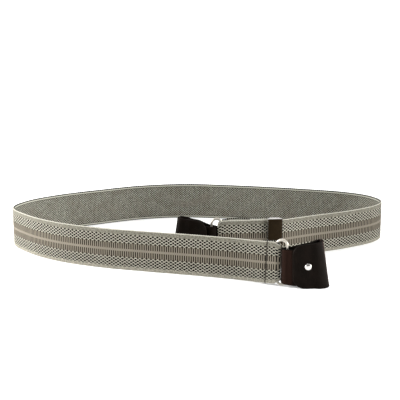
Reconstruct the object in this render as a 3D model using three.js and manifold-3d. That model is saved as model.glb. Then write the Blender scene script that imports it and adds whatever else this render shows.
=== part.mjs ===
// A buckleless belt that stands on its lower edge: elastic webbing in an open loop whose ends overlap.
// Each end carries a wire ring and a leather tab that snaps round a trouser loop, and a slide on the
// back end sets the length. Millimetres, +Z up; the outer face of the front stretch faces -Y.

import * as THREE from "three";
import { mergeVertices } from "three/addons/utils/BufferGeometryUtils.js";
import Module from "manifold-3d";

const wasm = await Module();
wasm.setup();

// Webbing
const seatGap = 0.3; // clear space between pieces, or layers, that lie on each other
const webbingWidth = 35;
const webbingThickness = 1.8;
const stationStep = 5; // length of strap between two cross-sections
const layerStep = 2.5; // the same where the webbing lies in layers
const turnSteps = 8; // flats in each half turn round a bar
const foldPinch = 2.5; // how far each edge draws in where the strap folds round a ring
const foldSlack = 0.75; // extra room between the fold and the ring's bar
const curveDivisions = 400; // parts that a curve is measured in

// Where the strap's middle line runs in plan, from the front ring round the loop to the back ring.
// lift is the height of its lower edge, which the rings and the slide hold off the floor.
const strapRoute = [
  { place: "front ring", x: 58.8, y: -107.7, lift: 1.5 },
  { place: "front, near the ring", x: 46.4, y: -100.7, lift: 0.6 },
  { place: "front, right", x: 31.5, y: -92.9, lift: 0.1 },
  { place: "front, middle", x: -1, y: -82, lift: 0 },
  { place: "front, left of middle", x: -44, y: -70, lift: 0 },
  { place: "front, left", x: -85.5, y: -57.5, lift: 0 },
  { place: "turn begins, left", x: -122, y: -40, lift: 0 },
  { place: "turn, left front", x: -151.5, y: -15, lift: 0 },
  { place: "left end", x: -171.5, y: 17, lift: 0 },
  { place: "turn, left back", x: -163, y: 43, lift: 0 },
  { place: "turn ends, left", x: -136, y: 69, lift: 0 },
  { place: "back, left", x: -99, y: 91, lift: 0 },
  { place: "back, left of middle", x: -61.5, y: 109.5, lift: 0 },
  { place: "back, middle", x: -17, y: 118, lift: 0 },
  { place: "back, right of middle", x: 35, y: 111, lift: 0 },
  { place: "back, right", x: 98, y: 95.5, lift: 0 },
  { place: "turn begins, right", x: 143, y: 79, lift: 0 },
  { place: "turn, right back", x: 162, y: 63, lift: 0 },
  { place: "right end", x: 168.7, y: 43, lift: 0 },
  { place: "turn, right front", x: 160.5, y: 25, lift: 0 },
  { place: "return, right", x: 133, y: 3.5, lift: 0 },
  { place: "return, middle", x: 98, y: -15.5, lift: 0.3 },
  { place: "return, near the slide", x: 77.5, y: -30.3, lift: 1.2 },
  { place: "slide, right", x: 70, y: -35.1, lift: 1.4 },
  { place: "slide, middle", x: 64, y: -35.9, lift: 1.5 },
  { place: "slide, left", x: 57.5, y: -36.4, lift: 1.6 },
  { place: "between slide and ring", x: 42, y: -38, lift: 1.8 },
  { place: "near the back ring", x: 31, y: -40.6, lift: 2 },
  { place: "back ring", x: 17.9, y: -41.3, lift: 2 },
];

// The webbing's layers inside the strap, by their distance back from the ring's bar. off is the distance
// between the two middle lines and rise is how much higher the layer stands than the strap.
const layerPitch = webbingThickness + seatGap;
const frontFoldLayer = [
  { back: 3, off: 3.7, rise: 0 },
  { back: 6, off: 2.4, rise: 0 },
  { back: 9, off: layerPitch, rise: 0 },
  { back: 12, off: layerPitch, rise: 0 },
];
const backReturnLayer = [
  { back: 3, off: 4.4, rise: 0.2 },
  { back: 8, off: 6.6, rise: 0.6 },
  { back: 17, off: 6.8, rise: 0.7 },
  { back: 25, off: 5.2, rise: 0.3 },
  { back: 31, off: 4.9, rise: 0.2 },
  { back: 37, off: 5.6, rise: 0.2 },
  { back: 46, off: 6.1, rise: 0.1 },
];
const sewnTail = [
  { back: 25, off: 2.9, rise: 0.2 },
  { back: 31, off: 2.6, rise: 0.1 },
  { back: 37, off: 3.2, rise: 0.1 },
  { back: 42, off: 2.9, rise: 0.1 },
  { back: 47, off: layerPitch, rise: 0 },
];

// Rings
const ringWire = 2.1;
const ringBarSpacing = 8.9; // between the centres of its two upright bars
const ringHeight = 38.7; // over all
const ringWireSides = 10;
const ringArcSteps = 12; // flats round each of its half-round ends

// Slide
const slideFromRing = 46; // its middle, along the strap from the back ring's bar
const slideWidth = 12;
const slidePlate = 1.0;
const slideLeg = 0.6; // thickness over and under the webbing
const slidePlateGap = 0.5; // between the plate and the webbing
const slideInside = { low: 0.9, high: 36.9 };
const slideBarRadius = 0.8;
const slideBarSides = 12;
const slideBarShift = 2.0; // the bar stands this far from the slide's middle, away from the ring
const slideBackRadius = 2.4;
const slideBackSteps = 5;
const coverMiddle = 1.5; // thickness of the leather on the slide, at its middle and at its sides
const coverSide = 0.9;
const coverOver = 0.25; // how far it reaches past the slide's sides

// Leather tabs
const leatherThickness = 2.2;
const leatherPitch = leatherThickness + seatGap;
const barToLeather = ringWire / 2 + seatGap + leatherThickness / 2;
const tabFlapRadius = 8.5; // round corners of the flap's free end
const tabFlats = 6; // flats between two rows of the tab's route
const tabLean = 0.16; // how far the folded end leans back towards the ring, for each mm of height
const snapAlong = 16.5;
const snapHeight = 18.4;

// The leather's middle line seen from above, from the free end of the flap round the fold to the ring
// and back under the flap. along is measured from the ring's outer bar, out towards the belt's outside.
const tabRoute = [
  { place: "flap's free end", along: 4.0, out: 4.2, low: 0, high: 35.0 },
  { place: "flap, lifted", along: 8.5, out: 3.1, low: 0, high: 35.3 },
  { place: "flap, before the snap", along: 12.3, out: leatherPitch, low: 0, high: 35.6 },
  { place: "flap, past the snap", along: 20.0, out: leatherPitch, low: 0, high: 36.4 },
  { place: "trouser loop's space, outside", along: 25.4, out: 4.4, low: 0, high: 37.3 },
  { place: "fold, outside", along: 30.0, out: 3.9, low: 0, high: 37.9 },
  { place: "fold", along: 31.7, out: 0.2, low: 0, high: 38.2 },
  { place: "fold, inside", along: 30.0, out: -3.4, low: 0, high: 37.9 },
  { place: "trouser loop's space, inside", along: 25.4, out: -4.0, low: 0, high: 37.3 },
  { place: "back, past the snap", along: 20.0, out: -leatherPitch, low: 0, high: 36.4 },
  { place: "back, before the snap", along: 12.5, out: -leatherPitch, low: 0.4, high: 35.3 },
  { place: "back, where it narrows", along: 8.5, out: -leatherPitch, low: 1.2, high: 33.9 },
  { place: "back, at the ring", along: 2.5, out: -barToLeather, low: 2.6, high: 31.8 },
  { place: "ring, inside", along: -1.5, out: -barToLeather + 0.1, low: 3.5, high: 31.4 },
  { place: "ring", along: -3.75, out: 0, low: 3.4, high: 31.1 },
  { place: "ring, outside", along: -1.5, out: barToLeather - 0.1, low: 2.0, high: 30.9 },
  { place: "neck", along: 4.5, out: 1.5, low: 1.3, high: 30.8 },
  { place: "neck, flat", along: 9.5, out: 0, low: 1.3, high: 30.8 },
  { place: "neck's end", along: 20.5, out: 0, low: 1.3, high: 30.8 },
];

// How each end turns in plan: headings in degrees from +X, the hand of its outer face, and how far
// its tab bows out.
const frontEnd = { name: "front", ringHeading: -20, tabHeading: 1, hand: 1, bow: 4.5 };
const backEnd = { name: "back", ringHeading: 172, tabHeading: 169, hand: -1, bow: 0 };

// Snaps
const capRadius = 2.75;
const capHeight = 1.5;
const shankRadius = 1.2;
const snapHoleRadius = shankRadius + seatGap;
const flangeRadius = 3.4;
const flangeThickness = 0.9;
const snapSides = 20;
const domeSteps = 5;
const capRim = 0.4; // height of the cap's upright rim
const drillLength = 30;

const weldDistance = 1e-4; // corners closer than this are one

// Colour, roughness and metalness
const finishes = {
  webbing: [0xa39f90, 0.9, 0],
  metal: [0xc9c6c0, 0.25, 1],
  leather: [0x1e1816, 0.5, 0],
  cover: [0x2c2217, 0.5, 0],
};

// Worked-out values
const barToWebbing = ringWire / 2 + seatGap + webbingThickness / 2;
const slideTurnRadius = slideBarRadius + seatGap + webbingThickness / 2;
const slideBarOut = layerPitch + slideTurnRadius; // from the strap's middle line
const slideBack = -slideBarOut - slideBarRadius;
const plateBack = webbingThickness / 2 + slidePlateGap;
const plateFront = plateBack + slidePlate;
const foldAlong = Math.max(...tabRoute.map((row) => row.along));
const tabMiddle = Math.max(...tabRoute.map((row) => row.high)) / 2;
const flapOuter = leatherPitch + leatherThickness / 2;

function finish([color, roughness, metalness]) {
  return new THREE.MeshStandardMaterial({ color, roughness, metalness });
}

function leftOf(direction) {
  return new THREE.Vector2(-direction.y, direction.x);
}

function smoothStep(t) {
  const s = THREE.MathUtils.clamp(t, 0, 1);
  return s * s * (3 - 2 * s);
}

// A value between the rows of a table, eased from each row to the next.
function fromRows(rows, key, value, at) {
  const last = rows[rows.length - 1];
  if (at >= last[key]) return last[value];
  const next = rows.findIndex((row) => row[key] > at);
  if (next === 0) return rows[0][value];
  const a = rows[next - 1];
  const b = rows[next];
  return a[value] + (b[value] - a[value]) * smoothStep((at - a[key]) / (b[key] - a[key]));
}

// The strap's stations: its middle line in plan and the heights of its edges, at even distances.
function strapStations() {
  const points = strapRoute.map((row) => new THREE.Vector3(row.x, row.y, row.lift));
  const curve = new THREE.CatmullRomCurve3(points, false, "centripetal");
  curve.arcLengthDivisions = curveDivisions;
  const count = Math.round(curve.getLength() / stationStep);
  return curve.getSpacedPoints(count).map((point) => {
    const low = Math.max(0, point.z);
    return { at: new THREE.Vector2(point.x, point.y), low, high: low + webbingWidth };
  });
}

// The place at a distance back from the end of a route, with the unit direction towards that end.
function placeBefore(stations, distance) {
  let index = stations.length - 1;
  let left = distance;
  let length = stations[index].at.distanceTo(stations[index - 1].at);
  while (left > length) {
    left -= length;
    index -= 1;
    length = stations[index].at.distanceTo(stations[index - 1].at);
  }
  const a = stations[index];
  const b = stations[index - 1];
  const share = left / length;
  return {
    at: a.at.clone().lerp(b.at, share),
    towards: a.at.clone().sub(b.at).normalize(),
    low: THREE.MathUtils.lerp(a.low, b.low, share),
  };
}

// Half a turn round an upright bar that stands on the strap's left (side 1) or right (side -1). At the
// far side of the bar the strap has some slack, and its edges are pinched.
function halfTurn({ bar, side, towards, low }, radius, slack, pinch) {
  const across = leftOf(towards).multiplyScalar(side);
  const turn = [];
  for (let i = 0; i <= turnSteps; i += 1) {
    const angle = (i / turnSteps - 0.5) * Math.PI;
    const at = bar.clone();
    at.addScaledVector(towards, (radius + slack) * Math.cos(angle));
    at.addScaledVector(across, radius * Math.sin(angle));
    const drawnIn = pinch * Math.sqrt(Math.cos(angle));
    turn.push({ at, low: low + drawnIn, high: low + webbingWidth - drawnIn });
  }
  return turn;
}

// Stations of a layer beside the strap's end, going back from the ring's bar.
function layerStations({ strap, side }, rows) {
  const from = rows[0].back;
  const to = rows[rows.length - 1].back;
  const count = Math.ceil((to - from) / layerStep);
  const layer = [];
  for (let i = 0; i <= count; i += 1) {
    const back = from + ((to - from) * i) / count;
    const place = placeBefore(strap, back);
    const off = side * fromRows(rows, "back", "off", back);
    const at = place.at.addScaledVector(leftOf(place.towards), off);
    const low = place.low + fromRows(rows, "back", "rise", back);
    layer.push({ at, low, high: low + webbingWidth });
  }
  return layer;
}

// An end of the strap, with the ring's inner bar on the side where the loop's inside is.
function strapEnd(strap, side) {
  const { at, towards, low } = placeBefore(strap, 0);
  const bar = at.clone().addScaledVector(leftOf(towards), side * barToWebbing);
  return { strap, side, bar, towards, low };
}

// The turn of the returning layer round the slide's bar, back towards the ring.
function slideTurn({ strap, side }) {
  const { at, towards, low } = placeBefore(strap, slideFromRing + slideBarShift);
  const bar = at.clone().addScaledVector(leftOf(towards), side * slideBarOut);
  return halfTurn({ bar, side, towards: towards.clone().negate(), low }, slideTurnRadius, 0, 0);
}

// The whole webbing: its end folded round the front ring, the loop, the turn round the back ring, the
// layer that returns to the slide's bar, and the tail that is sewn down between the two others.
function webbingStations(front, back) {
  return [
    ...layerStations(front, frontFoldLayer).reverse(),
    ...halfTurn(front, barToWebbing, foldSlack, foldPinch).reverse(),
    ...back.strap.slice(1, -1),
    ...halfTurn(back, barToWebbing, foldSlack, foldPinch),
    ...layerStations(back, backReturnLayer),
    ...slideTurn(back),
    ...layerStations(back, sewnTail).reverse(),
  ];
}

// A closed solid swept along upright stations: a strip of even thickness with its own edge heights.
function stripGeometry(stations, thickness, place = (x, y, z) => [x, y, z]) {
  const positions = [];
  const last = stations.length - 1;
  stations.forEach((station, i) => {
    const before = stations[Math.max(0, i - 1)].at;
    const after = stations[Math.min(last, i + 1)].at;
    const normal = leftOf(after.clone().sub(before).normalize()).multiplyScalar(thickness / 2);
    const left = station.at.clone().add(normal);
    const right = station.at.clone().sub(normal);
    positions.push(...place(left.x, left.y, station.low));
    positions.push(...place(right.x, right.y, station.low));
    positions.push(...place(right.x, right.y, station.high));
    positions.push(...place(left.x, left.y, station.high));
  });
  const faces = [0, 1, 2, 0, 2, 3];
  const end = last * 4;
  faces.push(end, end + 2, end + 1, end, end + 3, end + 2);
  for (let i = 0; i < last; i += 1) {
    for (let side = 0; side < 4; side += 1) {
      const a = i * 4 + side;
      const b = i * 4 + ((side + 1) % 4);
      faces.push(a, a + 4, b, b, a + 4, b + 4);
    }
  }
  return solid(positions, faces);
}

// Six times the volume inside the faces, negative where they point inwards.
function signedVolume(positions, faces) {
  const corner = (index) => new THREE.Vector3().fromArray(positions, index * 3);
  let sum = 0;
  for (let i = 0; i < faces.length; i += 3) {
    sum += corner(faces[i]).dot(corner(faces[i + 1]).cross(corner(faces[i + 2])));
  }
  return sum;
}

// A closed body from its corners and triangles, with its faces pointing out.
function solid(positions, faces) {
  const outward = signedVolume(positions, faces) < 0 ? [...faces].reverse() : faces;
  const geometry = new THREE.BufferGeometry();
  geometry.setAttribute("position", new THREE.Float32BufferAttribute(positions, 3));
  geometry.setIndex(outward);
  geometry.computeVertexNormals();
  return geometry;
}

// Conversions for cuts and joins.
function toManifold(geometry, matrix = new THREE.Matrix4()) {
  const bare = geometry.clone().applyMatrix4(matrix);
  bare.deleteAttribute("normal");
  bare.deleteAttribute("uv");
  const merged = mergeVertices(bare, weldDistance);
  return new wasm.Manifold(new wasm.Mesh({
    numProp: 3,
    vertProperties: new Float32Array(merged.attributes.position.array),
    triVerts: new Uint32Array(merged.index.array),
  }));
}

function fromManifold(body) {
  const mesh = body.getMesh();
  return solid(Array.from(mesh.vertProperties), Array.from(mesh.triVerts));
}

// The upright frame of a place on the belt: x along, y out of the belt's outer face, z up. hand is 1
// where out is on the right of along, seen from above, and -1 on its left.
function uprightFrame(at, along, hand) {
  const out = leftOf(along).multiplyScalar(-hand);
  const matrix = new THREE.Matrix4().makeBasis(
    new THREE.Vector3(along.x, along.y, 0),
    new THREE.Vector3(out.x, out.y, 0),
    new THREE.Vector3(0, 0, 1),
  );
  return matrix.setPosition(at.x, at.y, 0);
}

// A geometry in a frame's place, which may be mirrored.
function placed(geometry, matrix) {
  const moved = geometry.clone().applyMatrix4(matrix);
  return solid(Array.from(moved.attributes.position.array), Array.from(moved.index.array));
}

// A wire ring in the plane of along and up, with its inner bar at the origin: two upright bars joined
// by a half-round end above and below.
function ringGeometry() {
  const wire = ringWire / 2;
  const arc = ringBarSpacing / 2;
  const ends = [ringHeight - wire - arc, wire + arc];
  const positions = [];
  ends.forEach((middle, end) => {
    for (let i = 0; i <= ringArcSteps; i += 1) {
      const angle = (end + i / ringArcSteps) * Math.PI;
      for (let side = 0; side < ringWireSides; side += 1) {
        const around = (side / ringWireSides) * 2 * Math.PI;
        const reach = arc + wire * Math.cos(around);
        positions.push(arc + reach * Math.cos(angle), wire * Math.sin(around));
        positions.push(middle + reach * Math.sin(angle));
      }
    }
  });
  const rows = ends.length * (ringArcSteps + 1);
  const faces = [];
  for (let row = 0; row < rows; row += 1) {
    for (let side = 0; side < ringWireSides; side += 1) {
      const next = (side + 1) % ringWireSides;
      const a = row * ringWireSides + side;
      const b = row * ringWireSides + next;
      const c = ((row + 1) % rows) * ringWireSides + side;
      const d = ((row + 1) % rows) * ringWireSides + next;
      faces.push(a, b, c, b, d, c);
    }
  }
  return solid(positions, faces);
}

// A tab's stations in its own frame, with the ring's outer bar at the origin. The corners of the free
// end are rounded by the distance run from that end.
function tabStations() {
  const points = tabRoute.map((row) => new THREE.Vector3(row.along, row.out, 0));
  const curve = new THREE.CatmullRomCurve3(points, false, "centripetal");
  const stations = [];
  const spans = tabRoute.length - 1;
  let run = 0;
  for (let i = 0; i <= spans * tabFlats; i += 1) {
    const { x, y } = curve.getPoint(i / (spans * tabFlats));
    const at = new THREE.Vector2(x, y);
    if (i > 0) run += at.distanceTo(stations[i - 1].at);
    const row = Math.min(Math.floor(i / tabFlats), spans - 1);
    const share = i / tabFlats - row;
    const low = THREE.MathUtils.lerp(tabRoute[row].low, tabRoute[row + 1].low, share);
    const high = THREE.MathUtils.lerp(tabRoute[row].high, tabRoute[row + 1].high, share);
    const short = Math.max(0, tabFlapRadius - run);
    const rounded = tabFlapRadius - Math.sqrt(tabFlapRadius ** 2 - short ** 2);
    stations.push({ at, low: low + rounded, high: high - rounded });
  }
  return stations;
}

// A tab's own bend. It bows out by its middle, which draws its fold nearer to the ring, and it leans
// more and more towards the fold.
function bend(bow, along, out, up) {
  const share = THREE.MathUtils.clamp(along / foldAlong, 0, 1);
  const drawn = 1 - ((Math.PI * bow) / (2 * foldAlong)) ** 2;
  const lean = tabLean * share * (up - tabMiddle);
  return [along * drawn - lean, out + bow * Math.sin(Math.PI * share), up];
}

function tabGeometry(bow) {
  const bent = (along, out, up) => bend(bow, along, out, up);
  const strip = toManifold(stripGeometry(tabStations(), leatherThickness, bent));
  const drill = new THREE.CylinderGeometry(snapHoleRadius, snapHoleRadius, drillLength, snapSides);
  const [along] = bend(bow, snapAlong, 0, snapHeight);
  const hole = toManifold(drill, new THREE.Matrix4().makeTranslation(along, 0, snapHeight));
  return fromManifold(strip.subtract(hole));
}

// A snap's domed cap, with its short shank through the flap. Its axis is y, out of the belt.
function snapCapGeometry() {
  const base = flapOuter + seatGap;
  const rim = base + capRim;
  const profile = [
    new THREE.Vector2(0, flapOuter - leatherThickness),
    new THREE.Vector2(shankRadius, flapOuter - leatherThickness),
    new THREE.Vector2(shankRadius, base),
    new THREE.Vector2(capRadius, base),
  ];
  for (let i = 0; i <= domeSteps; i += 1) {
    const angle = (i / domeSteps) * (Math.PI / 2);
    const up = rim + (base + capHeight - rim) * Math.sin(angle);
    profile.push(new THREE.Vector2(capRadius * Math.cos(angle), up));
  }
  profile[profile.length - 1].x = 0;
  return closedLathe(profile);
}

// A snap's stud: a flange behind the back layer, and a post through it and through the neck.
function snapStudGeometry() {
  const behind = -flapOuter - 2 * seatGap;
  return closedLathe([
    new THREE.Vector2(0, behind - flangeThickness),
    new THREE.Vector2(flangeRadius - flangeThickness / 2, behind - flangeThickness),
    new THREE.Vector2(flangeRadius, behind - flangeThickness / 2),
    new THREE.Vector2(flangeRadius, behind),
    new THREE.Vector2(shankRadius, behind),
    new THREE.Vector2(shankRadius, leatherThickness / 2),
    new THREE.Vector2(0, leatherThickness / 2),
  ]);
}

// A turned body about y whose profile starts and ends on the axis.
function closedLathe(profile) {
  return fromManifold(toManifold(new THREE.LatheGeometry(profile, snapSides)));
}

// An outline in x and y carried up from one height to another.
function prism(outline, low, high) {
  const geometry = new THREE.ExtrudeGeometry(outline, {
    depth: high - low,
    bevelEnabled: false,
    curveSegments: slideBackSteps,
  });
  return geometry.translate(0, 0, low);
}

// The slide in its own frame, with the strap's middle line at y = 0: a plate before the webbing, a leg
// over and under it, and an upright bar between the legs.
function slideFrameGeometry() {
  const half = slideWidth / 2;
  const outline = new THREE.Shape();
  outline.moveTo(half, plateFront);
  outline.lineTo(-half, plateFront);
  outline.lineTo(-half, slideBack + slideBackRadius);
  outline.absarc(-half + slideBackRadius, slideBack + slideBackRadius, slideBackRadius,
    Math.PI, Math.PI * 1.5);
  outline.absarc(half - slideBackRadius, slideBack + slideBackRadius, slideBackRadius,
    Math.PI * 1.5, Math.PI * 2);
  outline.closePath();
  const opening = new THREE.Shape();
  opening.moveTo(half * 2, plateBack);
  opening.lineTo(-half * 2, plateBack);
  opening.lineTo(-half * 2, slideBack * 2);
  opening.lineTo(half * 2, slideBack * 2);
  opening.closePath();
  const body = toManifold(prism(outline, slideInside.low - slideLeg, slideInside.high + slideLeg));
  const inside = toManifold(prism(opening, slideInside.low, slideInside.high));
  const barHeight = slideInside.high - slideInside.low + slideLeg;
  const bar = new THREE.CylinderGeometry(slideBarRadius, slideBarRadius, barHeight, slideBarSides);
  bar.rotateX(Math.PI / 2);
  bar.translate(-slideBarShift, -slideBarOut, (slideInside.high + slideInside.low) / 2);
  return fromManifold(body.subtract(inside).add(toManifold(bar)));
}

// The leather on the slide's plate, thickest along its middle.
function slideCoverGeometry() {
  const half = slideWidth / 2 + coverOver;
  const back = plateFront + seatGap;
  const outline = new THREE.Shape();
  outline.moveTo(-half, back);
  outline.lineTo(half, back);
  outline.lineTo(half, back + coverSide);
  outline.quadraticCurveTo(0, back + 2 * coverMiddle - coverSide, -half, back + coverSide);
  outline.closePath();
  const low = slideInside.low - slideLeg;
  const high = slideInside.high + slideLeg;
  return fromManifold(toManifold(prism(outline, low, high)));
}

const parts = new THREE.Group();

function addPiece(name, geometry, look) {
  const mesh = new THREE.Mesh(geometry, finish(look));
  mesh.name = name;
  parts.add(mesh);
}

function headingOf(degrees) {
  const angle = THREE.MathUtils.degToRad(degrees);
  return new THREE.Vector2(Math.cos(angle), Math.sin(angle));
}

// A ring, and the tab and snap that hang on its outer bar.
function addEnd(bar, { name, ringHeading, tabHeading, hand, bow }) {
  const ringAlong = headingOf(ringHeading);
  const ringFrame = uprightFrame(bar, ringAlong, hand);
  addPiece(`${name}_ring`, placed(ringGeometry(), ringFrame), finishes.metal);
  const outerBar = bar.clone().addScaledVector(ringAlong, ringBarSpacing);
  const tabFrame = uprightFrame(outerBar, headingOf(tabHeading), hand);
  addPiece(`${name}_tab`, placed(tabGeometry(bow), tabFrame), finishes.leather);
  const [along, out] = bend(bow, snapAlong, 0, snapHeight);
  const snapFrame = tabFrame.clone().multiply(
    new THREE.Matrix4().makeTranslation(along, out, snapHeight),
  );
  addPiece(`${name}_snap_cap`, placed(snapCapGeometry(), snapFrame), finishes.metal);
  addPiece(`${name}_snap_stud`, placed(snapStudGeometry(), snapFrame), finishes.metal);
}

const strap = strapStations();
const front = strapEnd([...strap].reverse(), 1);
const back = strapEnd(strap, -1);
const webbing = stripGeometry(webbingStations(front, back), webbingThickness);
addPiece("webbing", webbing, finishes.webbing);
addEnd(front.bar, frontEnd);
addEnd(back.bar, backEnd);

const slidePlace = placeBefore(strap, slideFromRing);
const slideFrame = uprightFrame(slidePlace.at, slidePlace.towards, backEnd.hand);
addPiece("slide", placed(slideFrameGeometry(), slideFrame), finishes.metal);
addPiece("slide_cover", placed(slideCoverGeometry(), slideFrame), finishes.cover);

// The origin is on the floor, under the middle of the belt.
const extent = new THREE.Box3().setFromObject(parts);
parts.position.set(-(extent.min.x + extent.max.x) / 2, -(extent.min.y + extent.max.y) / 2, 0);

export default parts;
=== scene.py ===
"""Looks of the buckleless belt: woven elastic webbing, leather tabs, wire rings, snaps and the slide.

Every shape follows the same route and tables as the part's source, in millimetres, +Z up.
"""

import bisect
import math

import bmesh
import bpy
from mathutils import Matrix, Vector

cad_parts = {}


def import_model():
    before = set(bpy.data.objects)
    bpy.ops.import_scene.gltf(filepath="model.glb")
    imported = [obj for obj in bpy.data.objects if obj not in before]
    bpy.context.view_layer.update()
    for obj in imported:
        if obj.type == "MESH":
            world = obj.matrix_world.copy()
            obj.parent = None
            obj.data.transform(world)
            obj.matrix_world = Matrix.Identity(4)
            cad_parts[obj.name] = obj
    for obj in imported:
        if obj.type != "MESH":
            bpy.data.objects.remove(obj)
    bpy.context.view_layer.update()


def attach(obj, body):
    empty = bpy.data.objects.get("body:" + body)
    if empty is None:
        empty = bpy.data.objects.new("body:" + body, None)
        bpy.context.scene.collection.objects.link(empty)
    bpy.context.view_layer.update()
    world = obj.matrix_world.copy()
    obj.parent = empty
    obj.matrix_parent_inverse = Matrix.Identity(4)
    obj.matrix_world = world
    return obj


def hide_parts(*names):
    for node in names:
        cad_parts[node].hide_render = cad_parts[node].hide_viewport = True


MM = 0.001
CAD_SHIFT = (1.508, -0.264)  # from the route's own origin to the middle of the belt

# Camera
CAMERA_FOOT = (0.5, -868.2)
CAMERA_HEIGHT = 245.8
CAMERA_PITCH = 13
CAMERA_LENS = 89.55
CAMERA_SENSOR = 36

# Light, with places and sizes in metres
ROOM_LIGHT = 0.08  # the world on the camera's side
STUDIO_LIGHT = 0.65  # the world behind the belt
WORLD_TURN = 0.5  # the world's light changes where a direction's depth is within this of zero
OVERHEAD_LIGHT = 2.65
OVERHEAD_SPREAD = 110  # degrees across the lamp
OVERHEAD_TILT = 22  # degrees off straight down, as it comes from behind the belt
SOFTBOXES = [  # name, place, size and power
    ("softbox_left", (-0.75, -0.02, 0.3), 0.5, 13),
    ("softbox_right", (3.0, -0.9, 1.0), 1.5, 104),
]
SOFTBOX_AIM = (0, 0, 0.02)
SPOT_PLACE = (0.95, -0.5, 0.4)  # a narrow lamp on the left end of the loop's inner face
SPOT_AIM = (-0.165, 0.045, 0.02)
SPOT_LIGHT = 54
SPOT_SPREAD = 10  # degrees across its cone
SPOT_RADIUS = 0.08
FLOOR_REACH = 20
FLOOR_GLOW = 0.17  # light of the floor's own, which keeps it white

# Webbing
SEAT_GAP = 0.3
WEBBING_WIDTH = 35
WEBBING_THICKNESS = 1.8
LAYER_PITCH = WEBBING_THICKNESS + SEAT_GAP
FOLD_PINCH = 2.5
FOLD_SLACK = 0.75
FINE_STEP = 0.5  # between points of the routes before the webbing's columns are laid out
HEADING_REACH = 0.3  # to either side of a point, where a route's heading is taken
SMOOTHING = 2  # times that the kinks between layers and turns are evened out
COLUMNS_PER_PERIOD = 8  # of the weave, in the turns. Elsewhere there are half as many.
CURVE_STEPS = 60  # between two points of the strap's route
TURN_STEPS = 24
TURN_MARGIN = 2  # of fine columns before a turn
FRONT_FOLD_REACH = 12  # of fine columns in the front fold
EDGE_ROUNDING = 0.7
EDGE_LEFT = 0.05  # square of the share of the thickness left at the very edge

STRAP_ROUTE = [  # x, y and the height of the lower edge
    (58.8, -107.7, 1.5),
    (46.4, -100.7, 0.6),
    (31.5, -92.9, 0.1),
    (-1, -82, 0),
    (-44, -70, 0),
    (-85.5, -57.5, 0),
    (-122, -40, 0),
    (-151.5, -15, 0),
    (-171.5, 17, 0),
    (-163, 43, 0),
    (-136, 69, 0),
    (-99, 91, 0),
    (-61.5, 109.5, 0),
    (-17, 118, 0),
    (35, 111, 0),
    (98, 95.5, 0),
    (143, 79, 0),
    (162, 63, 0),
    (168.7, 43, 0),
    (160.5, 25, 0),
    (133, 3.5, 0),
    (98, -15.5, 0.3),
    (77.5, -30.3, 1.2),
    (70, -35.1, 1.4),
    (64, -35.9, 1.5),
    (57.5, -36.4, 1.6),
    (42, -38, 1.8),
    (31, -40.6, 2),
    (17.9, -41.3, 2),
]

# Layers inside the strap: distance back from the ring's bar, distance off the strap, and rise above it
FRONT_FOLD = [(3, 3.7, 0), (6, 2.4, 0), (9, LAYER_PITCH, 0), (12, LAYER_PITCH, 0)]
BACK_RETURN = [
    (3, 4.4, 0.2),
    (8, 6.6, 0.6),
    (17, 6.8, 0.7),
    (25, 5.2, 0.3),
    (31, 4.9, 0.2),
    (37, 5.6, 0.2),
    (46, 6.1, 0.1),
]
SEWN_TAIL = [(25, 2.9, 0.2), (31, 2.6, 0.1), (37, 3.2, 0.1), (42, 2.9, 0.1), (47, LAYER_PITCH, 0)]

# Seams: each is a close row of slanted stitches up the webbing
SEAM_BACK = 7.5  # of the front fold's seam, from the ring's bar
SEAM_LEAN = 0.045  # how far it leans towards the ring, for each mm of height
TAIL_SEAM_BACK = 29  # of the seam that holds the tail, from the back ring's bar
SEAM_MARGIN = 0.3  # from the webbing's edges
STITCH_PITCH = 0.95
STITCH_LENGTH = 1.25
STITCH_RADIUS = 0.24
STITCH_SLANT = 50  # degrees from the webbing's length
STITCH_SIDES = 8
# Share of a stitch's half length, and of its radius there
STITCH_PROFILE = [(-1, 0.35), (-0.86, 0.8), (-0.5, 1), (0, 1.05), (0.5, 1), (0.86, 0.8), (1, 0.35)]
STITCH_SUNK = 0.12  # stitches of the outer face lie in the seam's groove
STITCH_PROUD = 0.05  # of the inner face
SEAM_DEPTH = 0.4  # of the groove
SEAM_REACH = 0.6  # of the groove, to either side

# The weave of the webbing's outer face. Heights are measured from its middle line.
WEAVE_PERIOD = 3.88
LATTICE_PITCH = 2.6
LATTICE_START = 6.4  # the innermost openings, which lie open to the ribs
STRIPE_EDGE = 1.0
ZIGZAG_LOW = 5.8  # the tips of the light yarn between the ribs and the lattice
ZIGZAG_HIGH = 7.5
ZIGZAG_HALF_WIDTH = 0.27
UPPER_LATTICE_EDGE = 13.5
LOWER_LATTICE_EDGE = 14.3
SELVEDGE = 16.95
OPENING_REACH = 0.5  # how far an opening reaches towards the yarns round it
OPENING_DEPTH = 0.42
YARN_RISE = 0.05  # of the yarns and the stripe above the mean surface
RIB_DEPTH = 0.14
RIB_SINK = 0.2  # share of that depth that the ribs lie lower
OUTER_ROWS = [0, 0.85, 1.15, 2.6, 4.2, 5.2]
OUTER_ROWS += [LATTICE_START + LATTICE_PITCH * row / 4 for row in range(-1, 14)]
OUTER_ROWS += [16.1, 16.6, 17.0, 17.3]
INNER_ROWS = [0, 4, 8, 12, 15.5, 16.6, 17.0, 17.3]

# The dots of the inner face
INNER_PERIOD = 2.6
INNER_PITCH = 2.2

# Rings
RING_WIRE = 2.1
RING_SPACING = 8.9
RING_HEIGHT = 38.7
RING_SIDES = 20
RING_TURN_STEPS = 28
RING_BAR_STEPS = 12

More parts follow.
